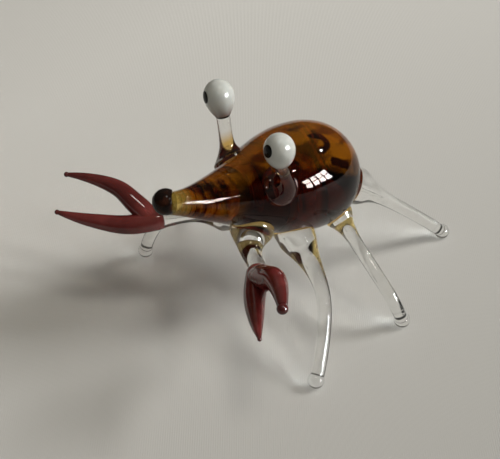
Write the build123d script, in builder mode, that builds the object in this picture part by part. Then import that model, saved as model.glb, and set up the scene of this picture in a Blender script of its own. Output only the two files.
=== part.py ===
"""Crab figurine in flame-worked glass: amber body, clear legs and arms, red claws, white eyes.

All sizes are in millimetres. +Z is up and the crab faces -Y, so its left side is +X.
The origin is on the surface that the feet stand on, under the middle of the whole figure.
Angles are in degrees. A share is a part of the size that it is multiplied by.
"""
from build123d import *
from math import cos, exp, radians, sin, sqrt
import os

os.makedirs("parts", exist_ok=True)

# Body: a round rear ball drawn out into a snout that rises towards the nose.
ball_radius = 13.0
ball_height = 29.6
body_tilt = 16.25
snout_length = 43.0
# The snout's middle hangs below the body's line by this much before the nose turns up.
snout_sag = 1.3
snout_sag_share = 0.66
# Along the snout: share of its length from the ball, then its radius as a share of the ball's.
snout_shares = ((0.11, 0.987), (0.22, 0.930), (0.36, 0.785), (0.50, 0.600), (0.66, 0.425),
                (0.82, 0.275), (0.91, 0.213))

# Nose: a dark bead on the snout's tip, its seam turned towards the crab's left.
nose_radius = 2.85
nose_seam_depth = 1.4
nose_seam_turn = 48.0
nose_lift = 0.4

# Eye stalks: clear trumpets on the upper sides of the snout.
left_stalk_station = 17.0
right_stalk_station = 18.2
stalk_turn = 58.0
stalk_seat_depth = 5.5
stalk_flare_radius = 4.6
stalk_flare_fall = 0.95
stalk_radius = 1.55

# Eyes: white drops with a black dot let into the front of each.
eye_radius = 3.42
# How far each eye's top stands above its widest part.
left_crown_radius = 4.05
right_crown_radius = 3.75
eye_neck_drop = 5.0
pupil_radius = 1.3
pupil_inset = 0.9
pupil_rise = 0.09
# Each eye's centre: out, forward of and above the ball's centre.
left_eye = (11.0, 19.1, 21.0)
right_eye = (11.0, 16.8, 23.4)
# Each eye's gaze: turn outwards from straight ahead, then upwards.
left_gaze_angles = (-4.0, 13.0)
right_gaze_angles = (18.0, 4.0)

# Legs: three pairs of clear rods with a bead at the end of each.
rod_radius = 1.56
foot_radius = 1.9
foot_flat_depth = 0.06
# A leg starts inside the body at its seat: out, forward of and above the ball's centre.
front_seat = (3.0, 9.0, -7.1)
middle_seat = (5.0, -3.0, -6.1)
rear_seat = (6.0, -6.0, -1.4)
# A foot's place: out, then forward of the ball's centre.
front_foot = (30.9, 25.5)
middle_foot = (30.4, -3.6)
left_rear_foot = (14.6, -36.8)
right_rear_foot = (17.5, -34.0)
# The bow is how far the middle of a leg stands off a straight line: out, forward, up.
left_front_bow = (4.15, -3.0, 2.1)
right_front_bow = (6.0, 4.0, 4.8)
middle_bow = (3.2, 2.2, 2.3)
rear_bow = (0.0, 0.0, 1.0)
# The bow at a quarter, half and three quarters of the way, as shares of that bow.
front_bow_shares = (0.64, 1.0, 0.67)
middle_bow_shares = (0.57, 1.0, 1.30)
rear_bow_shares = (1.0, 1.0, 0.70)
# Each leg's flare: its radius on the body, then the length over which it falls away.
front_flare = (4.5, 3.1)
middle_flare = (3.6, 1.4)
rear_flare = (4.5, 2.7)
# A leg's flare is at full width over this share of the leg, as far as the body's skin.
flare_skin_share = 0.13

# Arms: clear trumpets under the snout that carry the claws.
# An arm starts inside the snout at its seat: out, forward of and above the ball's centre.
arm_seat = (1.8, 18.0, -1.8)
arm_skin_share = 0.24
arm_flare_radius = 5.0
arm_flare_fall = 1.9
arm_radius = 1.8
wrist_radius = 2.4
# How sharply an arm swells into its wrist: a higher power keeps the swelling short.
wrist_swell_power = 7
# How far the middle of each arm stands off a straight line: out, forward, up.
left_arm_bow = (0.3, 1.5, -1.6)
right_arm_bow = (0.0, 0.0, 0.7)

# Claws: a straight finger and a curved finger, laid out in a plane that starts at the wrist.
finger_length = 22.7
horn_length = 23.3
# Each straight finger: its drop, then its radius at the wrist, before its tip and of its tip.
left_finger_sizes = (3.9, 2.6, 0.35, 0.5)
right_finger_sizes = (4.55, 2.4, 0.45, 0.6)
# Each curved finger: its rise, then its full radius, its radius before its tip and of its tip.
left_horn_sizes = (4.85, 3.3, 0.95, 1.2)
right_horn_sizes = (5.15, 2.85, 0.45, 0.62)
# The curved finger leaves the wrist thinner by this share and swells over this share of it.
horn_thin_share = 0.25
horn_swell_share = 0.12
# The wrist's seam leans back from the claw's own line.
wrist_lean_angle = 27.0
# Each wrist's place: out, forward of and above the ball's centre.
left_wrist = (15.0, 28.7, -5.05)
right_wrist = (14.6, 33.1, -4.9)
# Each claw's aim: turn outwards from straight ahead, rise, then roll about its own line.
left_aim_angles = (54.1, 14.35, 55.7)
right_aim_angles = (53.8, 10.8, 41.3)
# Straight finger's middle line: share of its length, then share of its drop.
finger_shares = ((0.0, 0.0), (0.20, 0.50), (0.34, 0.72), (0.52, 0.86), (0.72, 0.96), (1.0, 1.0))
# Curved finger's middle line: share of its length, then share of its rise.
horn_shares = ((0.05, -0.05), (0.16, 0.25), (0.28, 0.52), (0.42, 0.84), (0.62, 1.0), (0.81, 0.99),
               (1.0, 0.88))
# How sharply each finger thins: a higher power keeps its thickness for longer.
finger_taper_power = 2.1
horn_taper_power = 1.35

# Each drawn piece takes its thickness from this many circles along its middle line.
circle_count = 20


def spot(side, out, forward, rise):
    """A point from its distances out, forward of and above the ball's centre."""
    return Vector(ball_aside + side * out, ball_back - forward, ball_height + rise)


def claw_axes(side, aim):
    """The claw's own line and the way from its straight finger to its curved one."""
    turn, rise, roll = [radians(angle) for angle in aim]
    ahead = Vector(side * sin(turn) * cos(rise), -cos(turn) * cos(rise), sin(rise))
    level = Vector(side * cos(turn), sin(turn), 0)
    lift = Vector(-side * sin(turn) * sin(rise), cos(turn) * sin(rise), cos(rise))
    return ahead, level * cos(roll) + lift * sin(roll)


def finish(piece, label):
    """Name the piece and write it."""
    piece.part.label = label
    export_step(piece.part, f"parts/{label}.step")


def flared(length, flare_radius, rod, skin_share, fall, end_radius=None, power=1):
    """Thickness of a trumpet: full inside the body, an easing fall to the rod, then its end."""
    swell = (end_radius or rod) - rod

    def radius(share):
        beyond = max(share - skin_share, 0) * length / fall
        return rod + (flare_radius - rod) * (1 + beyond) * exp(-beyond) + swell * share ** power
    return radius


def tapered(base_radius, tip, power, thin_share=0, swell_share=1):
    """Thickness of a finger: a quick swelling if it has one, then a thinning to its tip."""
    def radius(share):
        thin = 1 - thin_share * exp(-share / swell_share)
        return (base_radius + (tip - base_radius) * share ** power) * thin
    return radius


def draw_out(label, path, radius, across, end_share=1, cut_by=(), tip_radius=0):
    """A round rod of changing thickness along a path, cut where it is fused to its neighbours."""
    with BuildPart() as piece:
        for step in range(circle_count):
            share = end_share * step / (circle_count - 1)
            with BuildSketch(Plane(origin=path @ share, x_dir=across, z_dir=path % share)):
                Circle(radius(share))
        loft()
        if tip_radius:
            with Locations(Plane(origin=path @ 1, x_dir=across, z_dir=path % 1)):
                Sphere(tip_radius)
        for neighbour in cut_by:
            add(neighbour.part, mode=Mode.SUBTRACT)
    finish(piece, label)
    return piece


def snout_middle(station):
    """The middle of the snout at a distance forward of the ball's centre."""
    share = station / snout_length
    hang = share ** 2 * (1 - share) / (snout_sag_share ** 2 * (1 - snout_sag_share))
    return ball_centre + along * station - above * snout_sag * hang


def snout_radius(station):
    """The body's radius at a distance forward of the ball's centre."""
    for start, end in zip(outline, outline[1:]):
        if start.X <= station <= end.X:
            return start.Y + (end.Y - start.Y) * (station - start.X) / (end.X - start.X)
    return nose_radius


def horn_reach(side, wrist_place, aim, horn_sizes):
    """How far out the curved finger of a claw reaches."""
    ahead, spread = claw_axes(side, aim)
    rise, _, _, tip_radius = horn_sizes
    tip_rise = rise * horn_shares[-1][1]
    return wrist_place[0] + side * (ahead.X * horn_length + spread.X * tip_rise) + tip_radius


# The whole figure runs from the straight finger's tip of the right claw to the rear feet, and
# from one curved finger's tip to the other. The ball's place puts the origin amid these.
right_ahead, right_spread = claw_axes(-1, right_aim_angles)
right_drop, _, _, right_tip_radius = right_finger_sizes
right_tip_forward = right_wrist[1] - right_ahead.Y * finger_length + right_spread.Y * right_drop
front_reach = right_tip_forward + right_tip_radius
back_reach = foot_radius - left_rear_foot[1]
ball_back = (front_reach - back_reach) / 2
right_horn_out = horn_reach(-1, right_wrist, right_aim_angles, right_horn_sizes)
left_horn_out = horn_reach(1, left_wrist, left_aim_angles, left_horn_sizes)
ball_aside = (right_horn_out - left_horn_out) / 2
foot_height = foot_radius - foot_flat_depth

# Body: a ball, then circles along the snout whose middles sag a little below a straight line.
# The whole drop is parted at the nose's seam into the amber body and the dark nose.
ball_centre = spot(0, 0, 0, 0)
along = Vector(0, -cos(radians(body_tilt)), sin(radians(body_tilt)))
above = Vector(0, sin(radians(body_tilt)), cos(radians(body_tilt)))
nose_centre = ball_centre + along * snout_length + above * nose_lift
seam_turn = radians(nose_seam_turn)
seam_normal = Vector(cos(seam_turn), sin(seam_turn), 0)
nose_seam = Plane(origin=nose_centre + seam_normal * nose_seam_depth, z_dir=seam_normal)
with BuildLine() as outline_line:
    Spline((0, ball_radius), *[(snout_length * station, ball_radius * width)
                               for station, width in snout_shares],
           (snout_length, nose_radius - nose_lift), tangents=((1, 0), (1, 0)))
outline = [outline_line.edge() @ (step / (circle_count - 1)) for step in range(circle_count)]

with BuildPart() as drop:
    with Locations(ball_centre):
        Sphere(ball_radius)
    split(bisect_by=Plane(origin=ball_centre, z_dir=along), keep=Keep.BOTTOM)
    for point in outline:
        with BuildSketch(Plane(origin=snout_middle(point.X), x_dir=above, z_dir=along)):
            Circle(point.Y)
    loft()
    with Locations(nose_centre):
        Sphere(nose_radius)

with BuildPart() as nose_bead:
    add(drop.part)
    split(bisect_by=nose_seam, keep=Keep.BOTTOM)

with BuildPart() as body:
    add(drop.part)
    split(bisect_by=nose_seam)

finish(nose_bead, "nose_bead")
finish(body, "body")


def make_eye(side, name, centre, crown_radius, gaze, stalk_station):
    """A white drop on a clear stalk, with a black dot let into its front."""
    middle = spot(side, *centre)
    tilt = radians(stalk_turn)
    outwards = above * cos(tilt) + Vector(side * sin(tilt), 0, 0)
    skin = snout_middle(stalk_station) + outwards * snout_radius(stalk_station)
    seat = skin - outwards * stalk_seat_depth
    upright = (middle - skin).normalized()
    neck = middle - upright * eye_neck_drop
    turn, rise = [radians(angle) for angle in gaze]
    sight = Vector(side * sin(turn) * cos(rise), -cos(turn) * cos(rise), sin(rise))
    sideways = Vector(0, 1, 0).cross(upright)
    drop_plane = Plane(origin=middle, x_dir=sideways, z_dir=sideways.cross(upright))
    half_turn = 180
    quarter_turn = half_turn / 2
    slant = cos(radians(quarter_turn / 2))

    with BuildPart() as pupil:
        with BuildSketch(drop_plane):
            with BuildLine():
                round_side = EllipticalCenterArc((0, 0), eye_radius + pupil_rise,
                                                 crown_radius + pupil_rise,
                                                 start_angle=-quarter_turn, arc_size=half_turn)
                Line(round_side @ 1, round_side @ 0)
            make_face()
        revolve(axis=Axis(middle, upright))
        with Locations(Plane(origin=middle, z_dir=sight)):
            Cylinder(pupil_radius, eye_radius + ball_radius, mode=Mode.INTERSECT,
                     align=(Align.CENTER, Align.CENTER, Align.MIN))
        split(bisect_by=Plane(origin=middle + sight * (eye_radius - pupil_inset), z_dir=sight))
    finish(pupil, f"{name}_pupil")

    with BuildPart() as eyeball:
        with BuildSketch(drop_plane):
            with BuildLine():
                Spline((0, crown_radius), (eye_radius * slant, crown_radius * slant),
                       (eye_radius, 0), tangents=((1, 0), (0, -1)))
                Spline((eye_radius, 0), (stalk_radius, -eye_neck_drop),
                       tangents=((0, -1), (-eye_radius, -eye_neck_drop)))
                Line((stalk_radius, -eye_neck_drop), (0, -eye_neck_drop))
                Line((0, -eye_neck_drop), (0, crown_radius))
            make_face()
        revolve(axis=Axis(middle, upright))
        add(pupil.part, mode=Mode.SUBTRACT)
    finish(eyeball, f"{name}_eyeball")

    with BuildLine() as rise_line:
        Spline(seat, skin, neck, tangents=(outwards, upright))
    path = rise_line.edge()
    skin_share = (stalk_seat_depth - stalk_flare_fall) / path.length
    trumpet = flared(path.length, stalk_flare_radius, stalk_radius, skin_share, stalk_flare_fall)
    draw_out(f"{name}_eye_stalk", path, trumpet, (skin - seat).cross(neck - skin), cut_by=(body,))


def make_claw(side, name, wrist_place, aim, finger_sizes, horn_sizes, arm_bow, neighbours):
    """A clear arm from under the snout to the wrist, then the claw's two red fingers."""
    wrist = spot(side, *wrist_place)
    ahead, spread = claw_axes(side, aim)
    normal = ahead.cross(spread) * side
    lean = radians(wrist_lean_angle)
    start = ahead * cos(lean) - spread * sin(lean)
    seat = spot(side, *arm_seat)
    bow_out, bow_forward, bow_up = arm_bow
    middle = (seat + wrist) / 2 + Vector(side * bow_out, -bow_forward, bow_up)

    with BuildLine() as arm_line:
        Spline(seat, middle, wrist, tangents=(middle - seat, start))
    path = arm_line.edge()
    trumpet = flared(path.length, arm_flare_radius, arm_radius, arm_skin_share, arm_flare_fall,
                     wrist_radius, wrist_swell_power)
    arm = draw_out(f"{name}_claw_arm", path, trumpet, normal, cut_by=(body, *neighbours))

    finger_drop, finger_radius, finger_end_radius, finger_tip_radius = finger_sizes
    finger_points = [wrist + ahead * finger_length * reach - spread * finger_drop * drop
                     for reach, drop in finger_shares]
    with BuildLine() as finger_line:
        Spline(*finger_points, tangents=(start, ahead))
    spindle = tapered(finger_radius, finger_end_radius, finger_taper_power)
    finger = draw_out(f"{name}_claw_finger", finger_line.edge(), spindle, normal, cut_by=(arm,),
                      tip_radius=finger_tip_radius)

    horn_rise, horn_radius, horn_end_radius, horn_tip_radius = horn_sizes
    horn_points = [wrist + ahead * horn_length * reach + spread * horn_rise * rise
                   for reach, rise in horn_shares]
    with BuildLine() as horn_line:
        Spline(*horn_points)
    curve = tapered(horn_radius, horn_end_radius, horn_taper_power, horn_thin_share,
                    horn_swell_share)
    draw_out(f"{name}_claw_horn", horn_line.edge(), curve, normal, cut_by=(arm, finger),
             tip_radius=horn_tip_radius)
    return arm


def make_leg(side, name, seat_place, foot_place, bow, bow_shares, flare, neighbours):
    """A clear rod from its fused root on the body to the seam of its foot bead."""
    seat = spot(side, *seat_place)
    foot = spot(side, *foot_place, foot_height - ball_height)
    bow_out, bow_forward, bow_up = bow
    stand_off = Vector(side * bow_out, -bow_forward, bow_up)
    quarters = [seat + (foot - seat) * step / 4 + stand_off * share
                for step, share in zip((1, 2, 3), bow_shares)]
    with BuildLine() as leg_line:
        Spline(seat, *quarters, foot)
    path = leg_line.edge()
    seam_share = 1 - sqrt(foot_radius ** 2 - rod_radius ** 2) / path.length
    across = (foot - seat).cross(Vector(0, 0, 1)).normalized()
    flare_radius, flare_fall = flare
    trumpet = flared(path.length, flare_radius, rod_radius, flare_skin_share, flare_fall)
    leg = draw_out(f"{name}_leg", path, trumpet, across, seam_share, (body, *neighbours))

    seam = Plane(origin=path @ seam_share, z_dir=path % seam_share)
    with BuildPart() as bead:
        with Locations(foot):
            Sphere(foot_radius)
        split(bisect_by=seam)
        split(bisect_by=Plane.XY)
    finish(bead, f"{name}_foot")
    return leg


make_eye(1, "left", left_eye, left_crown_radius, left_gaze_angles, left_stalk_station)
make_eye(-1, "right", right_eye, right_crown_radius, right_gaze_angles, right_stalk_station)
left_arm = make_claw(1, "left", left_wrist, left_aim_angles, left_finger_sizes, left_horn_sizes,
                     left_arm_bow, ())
right_arm = make_claw(-1, "right", right_wrist, right_aim_angles, right_finger_sizes,
                      right_horn_sizes, right_arm_bow, (left_arm,))
for side, word, arm, front_bow, rear_foot in (
        (1, "left", left_arm, left_front_bow, left_rear_foot),
        (-1, "right", right_arm, right_front_bow, right_rear_foot)):
    front = make_leg(side, f"{word}_front", front_seat, front_foot, front_bow, front_bow_shares,
                     front_flare, (arm,))
    middle = make_leg(side, f"{word}_middle", middle_seat, middle_foot, middle_bow,
                      middle_bow_shares, middle_flare, (front,))
    make_leg(side, f"{word}_rear", rear_seat, rear_foot, rear_bow, rear_bow_shares, rear_flare,
             (middle,))
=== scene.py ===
from functools import partial

import bpy
import numpy as np
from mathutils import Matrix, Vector


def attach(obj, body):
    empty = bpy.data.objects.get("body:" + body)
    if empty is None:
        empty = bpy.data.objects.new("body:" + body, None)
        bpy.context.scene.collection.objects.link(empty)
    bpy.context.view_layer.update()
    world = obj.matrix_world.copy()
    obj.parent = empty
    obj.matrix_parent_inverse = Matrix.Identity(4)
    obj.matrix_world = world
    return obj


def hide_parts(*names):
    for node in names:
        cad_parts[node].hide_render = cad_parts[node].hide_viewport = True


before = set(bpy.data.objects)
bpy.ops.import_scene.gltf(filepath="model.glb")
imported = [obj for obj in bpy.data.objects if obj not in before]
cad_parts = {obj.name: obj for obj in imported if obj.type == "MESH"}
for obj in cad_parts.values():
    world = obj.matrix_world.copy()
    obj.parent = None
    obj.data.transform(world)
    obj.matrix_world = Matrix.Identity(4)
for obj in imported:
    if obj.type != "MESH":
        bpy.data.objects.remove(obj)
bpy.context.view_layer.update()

# Body
# The body is one gather of solid amber glass, turned in the flame to a ball and drawn out into a
# snout. The drawing leaves rings of thin and thick colour round the snout, and streaks in the ball.
mm = 0.001
ball_radius = 13.0
ball_height = 29.6
ball_aside = 0.0301
ball_back = 5.630
body_tilt = np.radians(16.25)
snout_length = 43.0
snout_sag = 1.3
snout_sag_share = 0.66
# How wide the snout is at shares of its length, as shares of the ball's radius.
snout_shares = ((0.11, 0.987), (0.22, 0.930), (0.36, 0.785), (0.50, 0.600), (0.66, 0.425),
                (0.82, 0.275), (0.91, 0.213))
nose_radius = 2.85
nose_lift = 0.4
ball_centre = np.array([ball_aside, ball_back, ball_height])
along = np.array([0, -np.cos(body_tilt), np.sin(body_tilt)])
above = np.array([0, np.sin(body_tilt), np.cos(body_tilt)])
leftwards = np.array([1.0, 0, 0])
# The way from the body's painted shade towards its lit side; heights are measured along it.
light_side = np.array([-0.26, 0.42, 0.87])
thread_radius = 0.6
thread_fade = 0.5
glass_bend = 1.5
amber_absorption = (0.790, 0.570, 0.0)
amber_depth = 185.0
amber_gloss = (0.32, 0.25, 0.23, 1)
amber_thin = (1.0, 0.88, 0.50, 1)
amber_thick = (0.16, 0.08, 0.04, 1)
# Painted shade: the near-black amber on the side of the body away from the light.
amber_painted_shade = (0.070, 0.010, 0.006, 1)
amber_by_nose = (1.0, 0.95, 0.62, 1)
amber_cloud = (0.38, 0.128, 0.003, 1)
amber_cloud_by_nose = (0.30, 0.20, 0.035, 1)
amber_in_joint = (0.42, 0.18, 0.08, 1)
# Painted glow: the pale honey painted into the joints, for the light seen through them.
honey_painted_glow = (0.80, 0.60, 0.22, 1)


class Amount:
    """A number in a material's nodes: sums, products and powers of it add Math nodes."""

    def __init__(self, finish, socket):
        self.finish = finish
        self.socket = socket

    def maths(self, operation, *values):
        return self.finish.add("ShaderNodeMath", {"operation": operation}, dict(enumerate(values)))

    def __add__(self, other):
        return self.maths("ADD", self, other)

    def __sub__(self, other):
        return self.maths("SUBTRACT", self, other)

    def __rsub__(self, other):
        return self.maths("SUBTRACT", other, self)

    def __mul__(self, other):
        return self.maths("MULTIPLY", self, other)

    def __truediv__(self, other):
        return self.maths("DIVIDE", self, other)

    def __pow__(self, other):
        return self.maths("POWER", self, other)

    def __gt__(self, other):
        return self.maths("GREATER_THAN", self, other)

    __radd__ = __add__
    __rmul__ = __mul__

    def wave(self):
        """The sine of the number."""
        return self.maths("SINE", self)

    def clipped(self):
        """The number held between none and one."""
        return self.finish.add("ShaderNodeClamp", {}, {"Value": self})

    def past(self, start, run):
        """How far the number is past a start: none there, one a run further on."""
        return ((self - start) / run).clipped()

    def short_of(self, end, run):
        """How far the number is short of an end: none there, one a run before it."""
        return ((end - self) / run).clipped()


class Finish:
    """A material, or the room's light, that is built node by node."""

    def __init__(self, owner):
        owner.use_nodes = True
        owner.node_tree.nodes.clear()
        self.owner = owner

    def add(self, kind, settings, values, output=0):
        """Add a node of a kind with its settings, then set or link its inputs."""
        node = self.owner.node_tree.nodes.new(kind)
        for name, setting in settings.items():
            setattr(node, name, setting)
        for name, value in values.items():
            if isinstance(value, Amount):
                self.owner.node_tree.links.new(value.socket, node.inputs[name])
            else:
                node.inputs[name].default_value = value
        if len(node.outputs):
            return Amount(self, node.outputs[output])

    def blend(self, share, first, second):
        """A colour between two colours."""
        return self.add("ShaderNodeMix", {"data_type": "RGBA"}, {0: share, 6: first, 7: second}, 2)

    def place(self):
        """Where a point is, in the object's own coordinates."""
        return self.add("ShaderNodeTexCoord", {}, {}, 3)

    def noise(self, scale, detail=2.0, stretch=(1, 1, 1)):
        """Smooth random values over the piece, of so many lumps to the metre."""
        turned = self.add("ShaderNodeMapping", {}, {"Vector": self.place(), "Scale": stretch})
        return self.add("ShaderNodeTexNoise", {}, {"Vector": turned, "Scale": scale, "Detail": detail})

    def bump(self, strength, depth, height, **beneath):
        """Relief of so many metres from a height, laid over other relief where there is any."""
        return self.add("ShaderNodeBump", {}, {
            "Strength": strength, "Distance": depth, "Height": height, **beneath})

    def own(self, name):
        """A value that the piece's own mesh carries."""
        return self.add("ShaderNodeAttribute", {"attribute_name": name}, {}, 2)

    def glass(self, values):
        """Glass of one bend, whose other inputs are given."""
        return self.add("ShaderNodeBsdfPrincipled", {}, {"IOR": glass_bend, **values})

    def mixed(self, share, first, second):
        """A shader between two shaders."""
        return self.add("ShaderNodeMixShader", {}, {0: share, 1: first, 2: second})

    def ends(self, surface, volume=None):
        """Send the finished shaders to the material's output."""
        shaders = {"Surface": surface}
        if volume:
            shaders["Volume"] = volume
        self.add("ShaderNodeOutputMaterial", {}, shaders)
        return self.owner

    def fused_glass(self, values, absorption=None, depth=0.0, cloud=None, cloudy=None,
                    joint=(1, 1, 1, 1), painted_glow_share=None, passing=0.42):
        """Clear glass, cloudy by a share, that has no skin where it is melted into its neighbour.

        There it lets everything through, tinted like the joint, and where a share is given a pale
        honey diffuse is painted in as a glow of the light seen through the joint. A share of the
        lamps' light passes straight on, because glass throws only a pale shadow.
        """
        skin = self.glass({"Transmission Weight": 1.0, **values})
        if cloud:
            milky = self.glass({"Base Color": cloudy, "Roughness": 0.0, "Specular IOR Level": 0.14})
            skin = self.mixed(cloud.clipped(), skin, milky)
        melted = self.add("ShaderNodeBsdfTransparent", {}, {"Color": joint})
        if painted_glow_share:
            melted = self.mixed(painted_glow_share, melted, self.add("ShaderNodeBsdfDiffuse", {}, {
                "Color": honey_painted_glow}))
        surface = self.mixed(self.own("fused") > 0, skin, melted)
        to_lamp = self.add("ShaderNodeLightPath", {}, {}, 1)
        surface = self.mixed(to_lamp * passing, surface, self.add("ShaderNodeBsdfTransparent", {}, {}))
        volume = absorption and self.add("ShaderNodeVolumeAbsorption", {}, {
            "Color": (*absorption, 1), "Density": depth})
        return self.ends(surface, volume)


def amber_finish():
    """Amber glass: yellow behind the nose, ringed brown on the snout, streaked in the ball.

    The rings are two sine waves of the station along the body, which noise bends. Stations and
    heights are in millimetres, and a height counts from the snout's middle towards the light.
    Low on that height the amber is painted near black as shade.
    """
    finish = Finish(bpy.data.materials.new("amber_body_glass"))
    station = finish.own("along")
    height = finish.own("height")
    wander = finish.noise(240.0, 3.0) - 0.5
    coarse = (station * 2.6 + wander * 10.0).wave() * 0.5 + 0.5
    fine = (station * 6.1 + wander * 16.0).wave() * 0.5 + 0.5
    on_snout = station.past(12.0, 9.0) * station.short_of(37.5, 2.0) * station.past(20.0, 15.0)
    rings = ((coarse * 0.6 + fine * 0.4) * 1.15) ** 1.8 * on_snout
    streaks = ((finish.noise(210.0, 4.0, (1, 0.6, 1.4)) - 0.50) * 12.0).clipped()
    dark = rings + streaks * 0.75 + finish.own("thread") * 1.3
    rise = station.past(5.0, 5.0) * station.short_of(27.0, 6.0) * 3.2
    # Painted shade: below a height that rises along the snout, the amber turns near black, and the
    # cloud is left out there.
    painted_shade_share = ((5.8 + rise - height + wander * 9.0) / 4.0).clipped() * station.short_of(31.0, 7.0)
    near_nose = station.past(37.2, 1.6)
    drawn = finish.blend(dark.clipped(), amber_thin, amber_thick)
    colour = finish.blend(near_nose, finish.blend(painted_shade_share, drawn, amber_painted_shade), amber_by_nose)
    cloud = (1 - painted_shade_share) * (1 - dark.clipped()) * 0.34 + near_nose * 0.12
    cloudy = finish.blend(near_nose, amber_cloud, amber_cloud_by_nose)
    # Painted glow: a pale honey diffuse in the joints near the skin, on the side away from the light.
    painted_glow_share = height.short_of(-3.5, 2.5) * finish.own("fused").short_of(2.4, 1.2) * 0.40
    skin = {"Base Color": colour, "Roughness": 0.0, "Specular Tint": amber_gloss,
            "Normal": finish.bump(0.20, 0.00012, finish.noise(300.0, 3.0))}
    return finish.fused_glass(skin, amber_absorption, amber_depth, cloud, cloudy, amber_in_joint,
                              painted_glow_share, 0.1)


def unit(vector):
    """A vector, or a row of them, at length one."""
    vector = np.asarray(vector, float)
    return vector / np.linalg.norm(vector, axis=-1, keepdims=True)


def smooth_line(points, start=None, end=None, count=240):
    """A bent-strip curve through points (piecewise cubic, even slope and bend), at even steps."""
    points = np.asarray(points, float)
    gaps = np.linalg.norm(np.diff(points, axis=0), axis=1)
    slopes = np.diff(points, axis=0) / gaps[:, None]
    size = len(points)
    system, wanted = np.eye(size), np.zeros((size, points.shape[1]))
    inner = np.arange(1, size - 1)
    system[inner, inner - 1] = gaps[1:]
    system[inner, inner] = 2 * (gaps[:-1] + gaps[1:])
    system[inner, inner + 1] = gaps[:-1]
    wanted[inner] = 3 * (gaps[1:, None] * slopes[:-1] + gaps[:-1, None] * slopes[1:])
    if size > 2:
        first = slopes[0] - gaps[0] * (slopes[1] - slopes[0]) / (gaps[0] + gaps[1])
        last = slopes[-1] + gaps[-1] * (slopes[-1] - slopes[-2]) / (gaps[-1] + gaps[-2])
    else:
        first = last = slopes[0]
    wanted[0] = first if start is None else unit(start)
    wanted[-1] = last if end is None else unit(end)
    turns = np.linalg.solve(system, wanted)
    knots = np.concatenate(([0], np.cumsum(gaps)))
    where = np.linspace(0, knots[-1], 2000)
    span = np.clip(np.searchsorted(knots, where, "right") - 1, 0, size - 2)
    gap = gaps[span][:, None]
    t = (where - knots[span])[:, None] / gap
    line = ((1 + 2 * t) * (1 - t) ** 2 * points[span] + t * (1 - t) ** 2 * gap * turns[span]
            + t * t * (3 - 2 * t) * points[span + 1] + t * t * (t - 1) * gap * turns[span + 1])
    run = np.concatenate(([0], np.cumsum(np.linalg.norm(np.diff(line, axis=0), axis=1))))
    even = np.linspace(0, run[-1], count)
    return np.stack([np.interp(even, run, line[:, axis]) for axis in range(points.shape[1])], 1)


back_turns = np.radians([90, 75, 60, 45, 30])
ball_back_outline = zip(-ball_radius * np.sin(back_turns), ball_radius * np.cos(back_turns))
snout_outline = [(snout_length * station, ball_radius * width) for station, width in snout_shares]
outline = smooth_line([*ball_back_outline, *snout_outline, (snout_length, nose_radius - nose_lift)],
                      (0, 1), (1, 0), 300)


def snout_middle(station):
    """The middle of the snout at each station: a straight line less a cubic sag."""
    share = np.clip(station / snout_length, 0, 1)
    hang = share ** 2 * (1 - share) / (snout_sag_share ** 2 * (1 - snout_sag_share))
    return (ball_centre + np.multiply.outer(station, along)
            - np.multiply.outer(snout_sag * hang, above))


def body_skin(station):
    """The drop's radius at each station, read off its outline."""
    return np.interp(station, outline[:, 0], outline[:, 1])


def inside_body(points):
    """How deep points lie under the drop's skin; less than nothing outside it."""
    station = (points - ball_centre) @ along
    away = np.linalg.norm(points - snout_middle(station), axis=1)
    depth = np.where(station < -ball_radius / 2,
                     ball_radius - np.linalg.norm(points - ball_centre, axis=1),
                     body_skin(station) - away)
    return np.where(station > snout_length, -1.0, depth)


def rings_round(line, radii, around=72):
    """A grid: circles of the given radii, square to a line, with a steady start angle."""
    heading = unit(np.gradient(line, axis=0))
    middle = len(line) // 2
    guide = np.cross(line[middle] - line[0], line[-1] - line[middle])
    if np.linalg.norm(guide) < 1e-3:
        guide = np.cross(heading[0], np.eye(3)[abs(heading[0]).argmin()])
    side = unit(np.cross(unit(guide), heading))
    over = np.cross(heading, side)
    angle = np.linspace(0, 2 * np.pi, around, endpoint=False)
    circle = (np.cos(angle)[None, :, None] * side[:, None]
              + np.sin(angle)[None, :, None] * over[:, None])
    return line[:, None] + np.asarray(radii)[:, None, None] * circle


# How deep points lie in each piece of glass, and the meshes that are melted to other pieces.
depths = {"body": inside_body}
melts = []


def carry(mesh, name, values):
    """Give each point of a mesh a value that its material can read."""
    carried = mesh.attributes.new(name, "FLOAT", "POINT")
    carried.data.foreach_set("value", np.asarray(values, np.float32))


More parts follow.
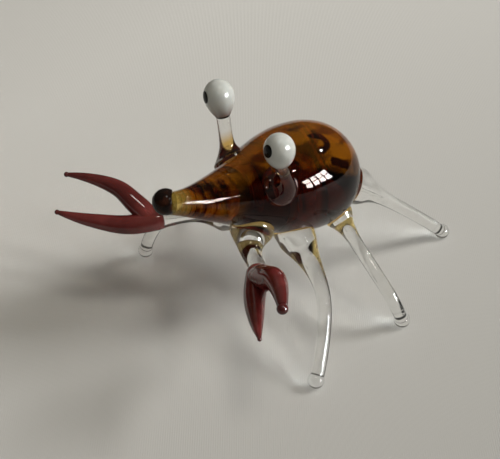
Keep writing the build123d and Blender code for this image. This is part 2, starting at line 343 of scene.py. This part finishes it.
def make_piece(name, rings, material, values=None, melted_to=()):
    """A closed surface through a grid of rings in millimetres, each end drawn to a point.

    Neighbouring rings are joined by two triangles for each step round them, and the outermost
    rings by a fan to their middle. The faces are turned so that the volume comes out positive.
    """
    count, around = rings.shape[:2]
    points = np.concatenate((rings.reshape(-1, 3), rings[:1].mean(1), rings[-1:].mean(1)))
    here = np.arange(count * around).reshape(count, around)
    beside = np.roll(here, -1, axis=1)
    a, b, c, d = here[:-1], beside[:-1], beside[1:], here[1:]
    first, last = np.full(around, count * around), np.full(around, count * around + 1)
    corners = np.concatenate((np.stack((a, b, c), -1).reshape(-1, 3),
                              np.stack((a, c, d), -1).reshape(-1, 3),
                              np.stack((first, beside[0], here[0]), -1),
                              np.stack((last, here[-1], beside[-1]), -1)))
    p, q, r = points[corners].transpose(1, 0, 2)
    if (p * np.cross(q, r)).sum() < 0:
        corners = corners[:, ::-1]
    mesh = bpy.data.meshes.new(name)
    mesh.vertices.add(len(points))
    mesh.vertices.foreach_set("co", (points * mm).astype(np.float32).ravel())
    mesh.loops.add(corners.size)
    mesh.loops.foreach_set("vertex_index", np.ascontiguousarray(corners, np.int32).ravel())
    mesh.polygons.add(len(corners))
    mesh.polygons.foreach_set("loop_start", np.arange(0, corners.size, 3, dtype=np.int32))
    mesh.polygons.foreach_set("use_smooth", np.ones(len(corners), bool))
    mesh.update(calc_edges=True)
    for key, value in (values or {}).items():
        carry(mesh, key, value(points))
    if melted_to:
        melts.append((mesh, points, melted_to))
    mesh.materials.append(material)
    piece = bpy.data.objects.new(name, mesh)
    bpy.context.scene.collection.objects.link(piece)
    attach(piece, "root")
    return piece


# The loops and dashes of the thread, measured from the ball's centre.
threads = [smooth_line(turns, count=48) for turns in (
    [(1.3, -4.7, 12.0), (3.1, -2.0, 12.5), (4.9, 0.4, 12.1), (6.3, 0.1, 11.4), (6.9, -2.0, 10.9),
     (6.1, -4.8, 10.4), (4.6, -6.5, 10.2)],
    [(6.5, -6.5, 9.2), (7.4, -7.4, 7.7), (8.1, -8.0, 6.2)],
    [(9.4, -0.8, 9.0), (10.1, 0.9, 8.1), (10.7, 2.5, 6.9)],
    [(8.6, -4.7, 8.5), (9.2, -4.4, 8.1), (9.6, -4.0, 7.8)])]


def thread_share(points):
    """The dark thread that was wound into the ball: full inside its radius, then a quick fade."""
    near = [np.linalg.norm(points[:, None] - ball_centre - thread, axis=2).min(1)
            for thread in threads]
    return np.clip(1 + (thread_radius - np.min(near, axis=0)) / thread_fade, 0, 1)


# The drop's rings are turned round an upright line, and each is then laid on the sagging middle.
stations, drop_radii = outline[1:].T
drop_rings = rings_round(np.stack([0 * stations, 0 * stations, stations], 1), drop_radii, 240)
drop_rings = (snout_middle(stations)[:, None]
              + np.multiply.outer(drop_rings[..., 0], leftwards)
              + np.multiply.outer(drop_rings[..., 1], above))
limb_roots = [f"{word}_{limb}" for word in ("left", "right")
              for limb in ("front_leg", "middle_leg", "rear_leg", "claw_arm", "eye_stalk")]
piece = make_piece("body_glass", drop_rings, amber_finish(), {
    "along": lambda points: (points - ball_centre) @ along, "thread": thread_share,
    "height": lambda points: (points - snout_middle((points - ball_centre) @ along)) @ light_side},
    limb_roots)
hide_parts("body")

# Legs
# Each leg is drawn from a clear 3 mm rod. Its root is melted onto the ball, where it flares out,
# and its foot is a bead that the flame rounded.
rod_radius = 1.56
foot_radius = 1.9
foot_flat = 0.06
foot_height = foot_radius - foot_flat
foot_overlap = 0.25
# Each leg's seat (out, forward and up from the ball's centre), its foot (out and forward), the
# shares of its bow at each quarter of its length, and its root's flare and how fast that falls.
leg_places = {
    "front": ((3.0, 9.0, -7.1), (30.9, 25.5), (0.64, 1.0, 0.67), (4.5, 3.1)),
    "middle": ((5.0, -3.0, -6.1), (30.4, -3.6), (0.57, 1.0, 1.30), (3.6, 1.4)),
    "rear": ((6.0, -6.0, -1.4), (14.6, -36.8), (1.0, 1.0, 0.70), (4.5, 2.7)),
}
# How far each leg bows out, forward and up from the straight way.
leg_bows = {"left_front": (4.15, -3.0, 2.1), "right_front": (6.0, 4.0, 4.8),
            "left_middle": (3.2, 2.2, 2.3), "right_middle": (3.2, 2.2, 2.3),
            "left_rear": (0.0, 0.0, 1.0), "right_rear": (0.0, 0.0, 1.0)}
right_rear_foot = (17.5, -34.0)
leg_skin_share = 0.13
# The other limbs that each leg touches where they leave the body.
leg_neighbours = {
    "left_front": ("left_claw_arm", "left_middle_leg", "right_front_leg"),
    "left_middle": ("left_front_leg", "left_rear_leg"),
    "left_rear": ("left_middle_leg",),
    "right_front": ("right_claw_arm", "right_middle_leg", "left_front_leg"),
    "right_middle": ("right_front_leg", "right_rear_leg"),
    "right_rear": ("right_middle_leg",),
}
clear_tint = (0.985, 0.985, 0.975, 1)
clear_streak = (0.985 * 0.9, 0.985 * 0.9, 0.975 * 0.88, 1)
# The amber painted into each root near the body's skin, for the amber body seen through its clear
# flare.
painted_flare_amber = (0.82, 0.54, 0.17, 1)
seam_shade = (0.06, 0.055, 0.05, 1)
seam_reach = 0.06
seam_fade = 0.2
drawn_crests = 5
crest_drift = 1.5
root_flare_paint = (0.8, 0.7)
pole_gap = 0.02


def inside_line(line, radii, points):
    """How deep points lie inside a rod: its radius at the nearest station less the distance."""
    low, high = line.min(0) - radii.max(), line.max(0) + radii.max()
    near = np.flatnonzero(((points > low) & (points < high)).all(1))
    depth = np.full(len(points), -5.0)
    coarse, thick = line[::2], radii[::2]
    heading = unit(np.gradient(coarse, axis=0))
    for part in np.array_split(near, len(near) // 20000 + 1):
        if len(part):
            gaps = ((points[part, None, :] - coarse[None]) ** 2).sum(2)
            best = gaps.argmin(1)
            off = points[part] - coarse[best]
            slide = (off * heading[best]).sum(1)
            step = np.linalg.norm(coarse[1] - coarse[0])
            radius = np.interp(best + slide / step, np.arange(len(thick)), thick)
            side = np.sqrt(np.clip((off ** 2).sum(1) - slide ** 2, 0, None))
            past = ((best == 0) | (best == len(thick) - 1)) & (abs(slide) > step)
            depth[part] = np.where(past, -5.0, radius - side)
    return depth


def inside_ball(centre, radius, points):
    """How deep points lie inside a ball."""
    return radius - np.linalg.norm(points - centre, axis=1)


def spot(side, out, forward, rise):
    """A point from its distances out, forward of and above the ball's centre."""
    return ball_centre + np.array([side * out, -forward, rise])


def flared(line, flare_radius, rod, skin_share, fall, end_radius=None, power=1):
    """A trumpet's radius: full inside the body, an easing fall to the rod, then its end."""
    share = np.linspace(0, 1, len(line))
    length = np.linalg.norm(np.diff(line, axis=0), axis=1).sum()
    beyond = np.clip(share - skin_share, 0, None) * length / fall
    swell = (end_radius or rod) - rod
    return rod + (flare_radius - rod) * (1 + beyond) * np.exp(-beyond) + swell * share ** power


def flare_paint(reach, strength):
    """Amber painted in where the body shows through a root's flare: full at the body's skin, none at so
    many mm above it.
    """
    return lambda points: strength * np.clip(1 + inside_body(points) / reach, 0, 1)


def drawn_lines(points, around=72):
    """The lines that drawing leaves along a rod: five uneven crests round each ring of points."""
    turn = np.arange(len(points)) % around * 2 * np.pi / around
    return np.cos(drawn_crests * turn + crest_drift * np.sin(turn))


def clear_finish():
    """Clear rod glass with faint streaks, with amber painted in near the body's skin, where the body
    shows through the flare.
    """
    finish = Finish(bpy.data.materials.new("clear_rod_glass"))
    streaks = ((finish.noise(420.0, 3.0) - 0.55) * 4.0).clipped()
    clear = finish.blend(streaks, clear_tint, clear_streak)
    # Painted amber near the root, for the body seen through the flare.
    flare_painted = finish.blend(finish.own("flare_amber_share"), clear, painted_flare_amber)
    colour = finish.blend(finish.own("seam"), flare_painted, seam_shade)
    lines = finish.bump(0.55, 0.00006, finish.own("drawn"))
    return finish.fused_glass({"Base Color": colour, "Roughness": 0.0, "Normal": finish.bump(
        0.10, 0.00008, finish.noise(520.0, 1.0), Normal=lines)})


clear_glass = clear_finish()
for side, word in ((1, "left"), (-1, "right")):
    for place, (seat_place, foot_place, bow_shares, (flare, fall)) in leg_places.items():
        name = f"{word}_{place}"
        if name == "right_rear":
            foot_place = right_rear_foot
        seat = spot(side, *seat_place)
        foot = spot(side, *foot_place, foot_height - ball_height)
        bow_out, bow_forward, bow_up = leg_bows[name]
        stand_off = np.array([side * bow_out, -bow_forward, bow_up])
        quarters = [seat + (foot - seat) * step / 4 + stand_off * share
                    for step, share in zip((1, 2, 3), bow_shares)]
        line = smooth_line([seat, *quarters, foot])
        radii = flared(line, flare, rod_radius, leg_skin_share, fall)
        depths[f"{name}_leg"] = partial(inside_line, line, radii)
        depths[f"{name}_foot"] = partial(inside_ball, foot, foot_radius)
        piece = make_piece(f"{name}_leg_glass", rings_round(line, radii), clear_glass, {
            "flare_amber_share": flare_paint(*root_flare_paint), "drawn": drawn_lines,
            "seam": lambda points: np.clip(
                1 + (seam_reach + inside_ball(foot, foot_radius, points)) / seam_fade, 0, 1)},
            ("body", f"{name}_foot", *leg_neighbours[name]))
        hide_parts(f"{name}_leg")

        heading = unit(line[-1] - line[-12])
        seam_run = np.sqrt(foot_radius ** 2 - rod_radius ** 2)
        seam_turn = np.arccos(min(seam_run + foot_overlap, foot_radius) / foot_radius)
        turns = np.linspace(np.pi - seam_turn, pole_gap, 60)
        bead = rings_round(foot + np.multiply.outer(foot_radius * np.cos(turns), heading),
                           foot_radius * np.sin(turns), 96)
        bead[..., 2] = np.maximum(bead[..., 2], 0)
        piece = make_piece(f"{name}_foot_glass", bead, clear_glass,
                           melted_to=(f"{name}_leg",))
        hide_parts(f"{name}_foot")

# Arms and claws
# A clear arm is drawn down from under the snout. At its wrist two rods of opaque red glass are
# melted on: a straight finger and a curved one, each pulled out to a fine tip with a tiny bead.
arm_seat = (1.8, 18.0, -1.8)
arm_radius = 1.8
arm_flare = 5.0
arm_fall = 1.9
arm_skin_share = 0.24
arm_neighbours = {"left": ("right_claw_arm", "left_front_leg"),
                  "right": ("left_claw_arm", "right_front_leg")}
wrist_lean = np.radians(27.0)
wrist_radius = 2.4
wrist_power = 7
finger_length = 22.7
finger_taper = 2.1
# How far the finger drops, and the horn rises, at shares of its length.
finger_shares = ((0.0, 0.0), (0.20, 0.50), (0.34, 0.72), (0.52, 0.86), (0.72, 0.96), (1.0, 1.0))
horn_length = 23.3
horn_taper = 1.35
horn_waist = (0.25, 0.12)
horn_shares = ((0.05, -0.05), (0.16, 0.25), (0.28, 0.52), (0.42, 0.84), (0.62, 1.0), (0.81, 0.99),
               (1.0, 0.88))
heel_gap = 0.08
heel_depth = 0.7
# Each claw's wrist (out, forward and up from the ball's centre), its turn, rise and roll in
# degrees, and how far its arm bows out, forward and up.
claw_places = {
    "left": ((15.0, 28.7, -5.05), (54.1, 14.35, 55.7), (0.3, 1.5, -1.6)),
    "right": ((14.6, 33.1, -4.9), (53.8, 10.8, 41.3), (0.0, 0.0, 0.7)),
}
# Each finger's and horn's drop or rise, root radius, end radius and tip bead.
finger_sizes = {"left": (3.9, 2.6, 0.35, 0.5), "right": (4.55, 2.4, 0.45, 0.6)}
horn_sizes = {"left": (4.85, 3.3, 0.95, 1.2), "right": (5.15, 2.85, 0.45, 0.62)}
red_deep = (0.095, 0.013, 0.012, 1)
red_streak = (0.190, 0.032, 0.030, 1)
red_palm = (0.230, 0.050, 0.046, 1)
red_tip = (0.06, 0.010, 0.010, 1)


def red_finish():
    """Opaque red glass: deep at the thin ends, pinker in the palm, with darker drawn streaks."""
    finish = Finish(bpy.data.materials.new("red_claw_glass"))
    share = finish.own("along")
    palm = ((0.22 - share) * 4.5).clipped()
    streaks = ((finish.noise(160.0, 3.0) - 0.42) * 3.0).clipped()
    palmed = finish.blend(palm * 0.7, finish.blend(streaks, red_deep, red_streak), red_palm)
    tipped = finish.blend(((share - 0.90) * 8.0).clipped() * 0.6, palmed, red_tip)
    return finish.ends(finish.glass({
        "Base Color": tipped, "Roughness": finish.noise(220.0) * 0.04 + 0.01,
        "Subsurface Weight": 0.08, "Subsurface Radius": (0.002, 0.0005, 0.0005),
        "Subsurface Scale": 0.5, "Normal": finish.bump(0.10, 0.0001, finish.noise(380.0, 2.0))}))


def round_end(line, radii, radius, steps=24):
    """Carry a rod on round a ball at its end: the ball's rings, then its pole."""
    heading = unit(line[-1] - line[-2])
    run = np.linalg.norm(line[1] - line[0])
    seam = np.sqrt(max(radius ** 2 - radii[-1] ** 2, 0))
    keep = len(line) - int(seam / run)
    angle = np.linspace(np.arctan2(radii[-1], -seam), 0, steps)[:-1]
    more = line[-1] + np.multiply.outer(radius * np.cos(angle), heading)
    return np.concatenate((line[:keep], more)), np.concatenate((radii[:keep], radius * np.sin(angle)))


def share_of(line):
    """How far points lie from a line's start towards its end, as a share of the straight way."""
    reach = line[-1] - line[0]
    return lambda points: ((points - line[0]) @ unit(reach)) / np.linalg.norm(reach)


red_glass = red_finish()
for side, word in ((1, "left"), (-1, "right")):
    wrist_place, aim, (bow_out, bow_forward, bow_up) = claw_places[word]
    turn, rise, roll = np.radians(aim)
    ahead = np.array([side * np.sin(turn) * np.cos(rise), -np.cos(turn) * np.cos(rise), np.sin(rise)])
    level = np.array([side * np.cos(turn), np.sin(turn), 0])
    lift = np.array([-side * np.sin(turn) * np.sin(rise), np.cos(turn) * np.sin(rise), np.cos(rise)])
    spread = level * np.cos(roll) + lift * np.sin(roll)
    wrist, seat = spot(side, *wrist_place), spot(side, *arm_seat)
    start = ahead * np.cos(wrist_lean) - spread * np.sin(wrist_lean)
    middle = (seat + wrist) / 2 + np.array([side * bow_out, -bow_forward, bow_up])
    line = smooth_line([seat, middle, wrist], middle - seat, start)
    radii = flared(line, arm_flare, arm_radius, arm_skin_share, arm_fall, wrist_radius, wrist_power)
    depths[f"{word}_claw_arm"] = partial(inside_line, line, radii)
    piece = make_piece(f"{word}_arm_glass", rings_round(line, radii), clear_glass,
                       {"flare_amber_share": flare_paint(*root_flare_paint), "drawn": drawn_lines},
                       ("body", *arm_neighbours[word]))
    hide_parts(f"{word}_claw_arm")

    finger_drop, finger_thick, finger_end, finger_tip = finger_sizes[word]
    horn_rise, horn_thick, horn_end, horn_tip = horn_sizes[word]
    finger_line = smooth_line([wrist + ahead * finger_length * reach - spread * finger_drop * drop
                               for reach, drop in finger_shares], start, ahead)
    horn_line = smooth_line([wrist + ahead * horn_length * reach + spread * horn_rise * up
                             for reach, up in horn_shares])
    share = np.linspace(0, 1, len(finger_line))
    finger_radii = finger_thick + (finger_end - finger_thick) * share ** finger_taper
    horn_radii = horn_thick + (horn_end - horn_thick) * share ** horn_taper
    horn_radii = horn_radii * (1 - horn_waist[0] * np.exp(-share / horn_waist[1]))
    for name, line, radii, tip in (("finger", finger_line, finger_radii, finger_tip),
                                   ("horn", horn_line, horn_radii, horn_tip)):
        turns = np.linspace(heel_gap, np.pi / 2, 16)[:-1]
        heel = line[0] + np.multiply.outer(radii[0] * np.cos(turns) * heel_depth,
                                           unit(line[0] - line[1]))
        whole, thick = round_end(line, radii, tip)
        whole = np.concatenate((heel, whole))
        thick = np.concatenate((radii[0] * np.sin(turns), thick))
        piece = make_piece(f"{word}_{name}_glass", rings_round(whole, thick), red_glass,
                           {"along": share_of(line)})
        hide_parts(f"{word}_claw_{name}")

# Eyes
# Each eye is a drop of opaque white glass on a clear stalk that is melted to the snout's upper
# side. A dot of black glass is pressed into its front and stands a hair proud.
eye_radius = 3.42
eye_neck_drop = 5.0
eye_neck_gap = 0.04
eye_pole_gap = 0.03
stalk_radius = 1.55
stalk_turn = np.radians(58.0)
stalk_root = 5.5
stalk_flare = 4.6
stalk_fall = 0.95
stalk_into_eye = 0.6
stalk_tip_share = 0.9
neck_close_drop = 0.05
neck_close_share = 0.5
stalk_flare_paint = (6.0, 2.2)
pupil_radius = 1.3
pupil_proud = 0.09
pupil_thickness = 0.7
pupil_bulge = 0.03
# Each eye's centre (out, forward and up from the ball's centre), the height of its crown, its
# gaze's turn and rise in degrees, and the station along the snout where its stalk stands.
eye_places = {"left": ((11.0, 19.1, 21.0), 4.05, (-4.0, 13.0), 17.0),
              "right": ((11.0, 16.8, 23.4), 3.75, (18.0, 4.0), 18.2)}
white_milk = (0.62, 0.63, 0.60, 1)
white_shade = (0.54, 0.56, 0.53, 1)
white_neck = (0.26, 0.19, 0.17, 1)
neck_ring = (0.020, 0.012, 0.010, 1)


def white_finish():
    """White glass: milky and clean on the ball, thinning to grey where it is drawn to the neck."""
    finish = Finish(bpy.data.materials.new("white_eye_glass"))
    height = finish.own("along")
    milk = finish.blend(finish.noise(260.0, 2.0), white_milk, white_shade)
    drawn = finish.blend(height.short_of(-1.6, 3.0) ** 1.6, milk, white_neck)
    colour = finish.blend(((-4.35 - height) * 4.0).clipped(), drawn, neck_ring)
    return finish.ends(finish.glass({
        "Base Color": colour, "Roughness": finish.noise(300.0) * 0.02 + 0.004,
        "Subsurface Weight": 0.35, "Subsurface Radius": (0.0016, 0.0014, 0.0012),
        "Subsurface Scale": 1.0}))


def black_finish(name, colour, warm):
    """Black glass: nearly no colour of its own, with a few warmer streaks and a wet gloss."""
    finish = Finish(bpy.data.materials.new(name))
    streaks = ((finish.noise(500.0, 2.0) - 0.5) * 4.0).clipped()
    return finish.ends(finish.glass({
        "Base Color": finish.blend(streaks, (*colour, 1), (*warm, 1)),
        "Roughness": finish.noise(300.0) * 0.02 + 0.004, "Specular IOR Level": 0.12}))


white_glass = white_finish()
black_glass = black_finish("black_pupil_glass", (0.006, 0.006, 0.006), (0.014, 0.010, 0.009))
for side, word in ((1, "left"), (-1, "right")):
    centre_place, crown_radius, gaze, station = eye_places[word]
    centre = spot(side, *centre_place)
    outwards = above * np.cos(stalk_turn) + np.array([side * np.sin(stalk_turn), 0, 0])
    skin = snout_middle(np.array(station)) + outwards * body_skin(np.array(station))
    upright = unit(centre - skin)
    neck = centre - upright * eye_neck_drop
    line = smooth_line([skin - outwards * stalk_root, skin, neck], outwards, upright)
    length = np.linalg.norm(np.diff(line, axis=0), axis=1).sum()
    radii = flared(line, stalk_flare, stalk_radius, (stalk_root - stalk_fall) / length, stalk_fall)
    depths[f"{word}_eye_stalk"] = partial(inside_line, line, radii)
    stalk_line = np.concatenate((line, line[-1:] + upright * stalk_into_eye))
    stalk_radii = np.append(radii, stalk_radius * stalk_tip_share)
    piece = make_piece(f"{word}_stalk_glass", rings_round(stalk_line, stalk_radii), clear_glass,
                       {"flare_amber_share": flare_paint(*stalk_flare_paint)}, ("body",))
    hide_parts(f"{word}_eye_stalk")

    # The eye's outline is an oval crown, and below it a cubic from the cheek to the throat.
    turns = np.linspace(eye_pole_gap, np.pi / 2, 60)
    run = np.linspace(0, 1, 50)[1:, None]
    cheek = np.array([[eye_radius, 0.0]])
    throat = np.array([[stalk_radius + eye_neck_gap, -eye_neck_drop]])
    pull = np.linalg.norm(throat - cheek)
    down = np.array([[0, -1.0]]) * pull
    inward = unit([[-eye_radius, -eye_neck_drop]]) * pull
    drawn = ((1 + 2 * run) * (1 - run) ** 2 * cheek + run * (1 - run) ** 2 * down
             + run ** 2 * (3 - 2 * run) * throat + run ** 2 * (run - 1) * inward)
    heights = np.concatenate((crown_radius * np.cos(turns), drawn[:, 1],
                              [-eye_neck_drop - neck_close_drop]))
    widths = np.concatenate((eye_radius * np.sin(turns), drawn[:, 0],
                             [stalk_radius * neck_close_share]))
    spine = centre + np.multiply.outer(heights, upright)
    piece = make_piece(f"{word}_eye_glass", rings_round(spine, widths, 128), white_glass,
                       {"along": lambda points: (points - centre) @ upright})
    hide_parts(f"{word}_eyeball")

    # The pupil is a cap of a slightly larger ball, stretched upwards as the eye's crown is.
    turn, rise = np.radians(gaze)
    sight = np.array([side * np.sin(turn) * np.cos(rise), -np.cos(turn) * np.cos(rise), np.sin(rise)])
    proud = eye_radius + pupil_proud
    spread_turns = np.linspace(pole_gap, np.arcsin(pupil_radius / proud), 24)
    edge = np.linspace(0, 1, 8)[1:]
    pupil_depths = np.concatenate((proud * np.cos(spread_turns),
                                   proud * np.cos(spread_turns[-1]) - pupil_thickness * edge))
    widths = np.concatenate((proud * np.sin(spread_turns),
                             pupil_radius + pupil_bulge * np.sin(edge * 3)))
    dot = rings_round(centre + np.multiply.outer(pupil_depths, sight), widths, 64)
    stretch = np.clip((dot - centre) @ upright, 0, None) * (crown_radius / eye_radius - 1)
    piece = make_piece(f"{word}_pupil_glass", dot + np.multiply.outer(stretch, upright),
                       black_glass)
    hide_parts(f"{word}_pupil")

# Nose
# The nose is a bead of dark glass that was melted onto the snout's tip. It is a ball cut flat where
# it meets the snout, and that seam is turned to the crab's left.
nose_seam_depth = 1.4
nose_turn = np.radians(48.0)
nose_proud = 0.03
nose_rim_gap = 0.05
hair_gap = 1e-4
nose_centre = ball_centre + along * snout_length + above * nose_lift
seam_normal = np.array([np.cos(nose_turn), np.sin(nose_turn), 0])
dark_glass = black_finish("dark_nose_glass", (0.010, 0.005, 0.004), (0.040, 0.012, 0.006))
cap_radius = nose_radius + nose_proud
turns = np.linspace(np.arccos(nose_seam_depth / cap_radius), np.pi - pole_gap, 90)
rim = np.linspace(nose_rim_gap, 1, 12)[:-1]
widths = np.concatenate((cap_radius * np.sin(turns[0]) * rim, cap_radius * np.sin(turns)))
nose_depths = np.concatenate((np.full(len(rim), nose_seam_depth), cap_radius * np.cos(turns)))
# The rings of the flat seam are set a hair apart, so that the line through them has a heading.
nose_depths = nose_depths - hair_gap * np.arange(len(nose_depths))
piece = make_piece("nose_glass", rings_round(nose_centre + np.multiply.outer(nose_depths, seam_normal),
                                             widths, 128), dark_glass)
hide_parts("nose_bead")

# Melting together
# The rods, the ball and the foot beads were joined while their glass was soft, so no skin is left
# between them. Each point carries how deep it lies in the neighbouring glass, which hides it there.
for mesh, points, neighbours in melts:
    carry(mesh, "fused", np.max([depths[name](points) for name in neighbours], axis=0))

# Cloth, light and camera
# The crab stands on pale ribbed cloth. The main light comes from its left and from behind, with a
# lamp overhead. A low window of eight panes and two small lamps show only in its gloss.
cloth_shade = (0.385, 0.376, 0.352, 1)
cloth_pale = (0.67, 0.657, 0.624, 1)
rib_scale = 641.0
rib_turn = np.radians(-48.0)
cloth_half = 1.2
cloth_drop = 2e-5
lamp_aim = Vector((0, 0, 0.03))
key_way = (0.635, 0.25, 0.73)
pane_turns = (17.0, 23.5, 30.0, 36.5)
pane_rises = (10.0, 19.0)
sky_top = 0.62
sky_low_colour = (0.050, 0.047, 0.042)
sky_top_colour = (0.168, 0.155, 0.128)
cloth = Finish(bpy.data.materials.new("pale_cloth"))
laid = cloth.add("ShaderNodeMapping", {}, {"Vector": cloth.place(), "Rotation": (0, 0, rib_turn)})
ribs = cloth.add("ShaderNodeTexWave", {"wave_type": "BANDS", "bands_direction": "X"}, {
    "Vector": laid, "Scale": rib_scale, "Distortion": 0.3}, 1)
across = cloth.add("ShaderNodeSeparateXYZ", {}, {"Vector": cloth.place()}, 0)
behind = cloth.add("ShaderNodeSeparateXYZ", {}, {"Vector": cloth.place()}, 1)
# Painted light: the cloth is paler towards minus x and minus y and darker the other way, for the fall
# of the light across it.
painted_light_fall = cloth.blend((0.45 - across * 5.0 - behind * 1.1).clipped(), cloth_shade, cloth_pale)
cloth_material = cloth.ends(cloth.add("ShaderNodeBsdfPrincipled", {}, {
    "Base Color": painted_light_fall, "Roughness": 0.9, "Normal": cloth.bump(0.22, 0.0001, ribs)}))
floor_mesh = bpy.data.meshes.new("cloth_floor")
floor_mesh.from_pydata([(x * cloth_half, y * cloth_half, -cloth_drop)
                        for x, y in ((-1, -1), (1, -1), (1, 1), (-1, 1))], [], [(0, 1, 2, 3)])
floor_mesh.materials.append(cloth_material)
floor = bpy.data.objects.new("cloth_floor", floor_mesh)
bpy.context.scene.collection.objects.link(floor)


def lamp(name, towards, distance, width, height, power, colour, lights=True, shines=True):
    """A flat soft light facing the crab, which lights it, shows in its gloss, or does both."""
    light = bpy.data.lights.new(name, "AREA")
    light.shape = "RECTANGLE"
    light.size, light.size_y = width, height
    light.energy, light.color = power, colour
    shown = bpy.data.objects.new(name, light)
    way = Vector(towards).normalized()
    shown.location = way * distance + lamp_aim
    shown.rotation_mode = "QUATERNION"
    shown.rotation_quaternion = way.to_track_quat("Z", "Y")
    shown.visible_diffuse, shown.visible_glossy = lights, shines
    shown.visible_transmission = False
    bpy.context.scene.collection.objects.link(shown)


lamp("back_light", (0.45, 0.685, 0.56), 0.95, 0.34, 0.30, 7.5, (1.0, 1.0, 0.99), shines=False)
lamp("key_light", key_way, 1.10, 0.16, 0.16, 2.0, (1.0, 0.985, 0.95), shines=False)
lamp("ceiling_lamp", (0.22, 0.03, 0.97), 1.20, 0.24, 0.24, 2.0, (1.0, 0.96, 0.88))
for column, azimuth in enumerate(pane_turns):
    for row, height in enumerate(pane_rises):
        turn, rise = np.radians((azimuth, height))
        way = (np.cos(turn) * np.cos(rise), np.sin(turn) * np.cos(rise), np.sin(rise))
        lamp(f"window_pane_{column}_{row}", way, 1.30, 0.11, 0.17, 5.0, (0.93, 0.98, 1.0), lights=False)
for place, towards in (("left", key_way), ("rear", (0.244, 0.719, 0.651))):
    lamp(f"{place}_glint", towards, 1.20, 0.04, 0.04, 1.5, (1.0, 0.99, 0.97), lights=False)

room = Finish(bpy.data.worlds.new("room"))
upwards = room.add("ShaderNodeSeparateXYZ", {}, {"Vector": room.add("ShaderNodeTexCoord", {}, {})}, 2)
sky = room.add("ShaderNodeMapRange", {"data_type": "FLOAT_VECTOR"}, {
    6: upwards, 8: (sky_top, sky_top, sky_top), 9: sky_low_colour, 10: sky_top_colour}, 1)
room.add("ShaderNodeOutputWorld", {}, {"Surface": room.add("ShaderNodeBackground", {}, {"Color": sky})})
bpy.context.scene.world = room.owner

camera = bpy.data.cameras.new("camera")
camera.lens, camera.sensor_width, camera.sensor_fit = 79.2, 36.0, "HORIZONTAL"
camera.clip_start, camera.clip_end = 0.01, 20.0
shot = bpy.data.objects.new("camera", camera)
shot.location = Vector((0.149107, -0.146059, 0.1790))
shot.rotation_mode = "QUATERNION"
shot.rotation_quaternion = Vector((0.5856, -0.5273, 0.6157)).to_track_quat("Z", "Y")
bpy.context.scene.collection.objects.link(shot)
bpy.context.scene.camera = shot
bpy.context.scene.view_settings.view_transform = "Standard"
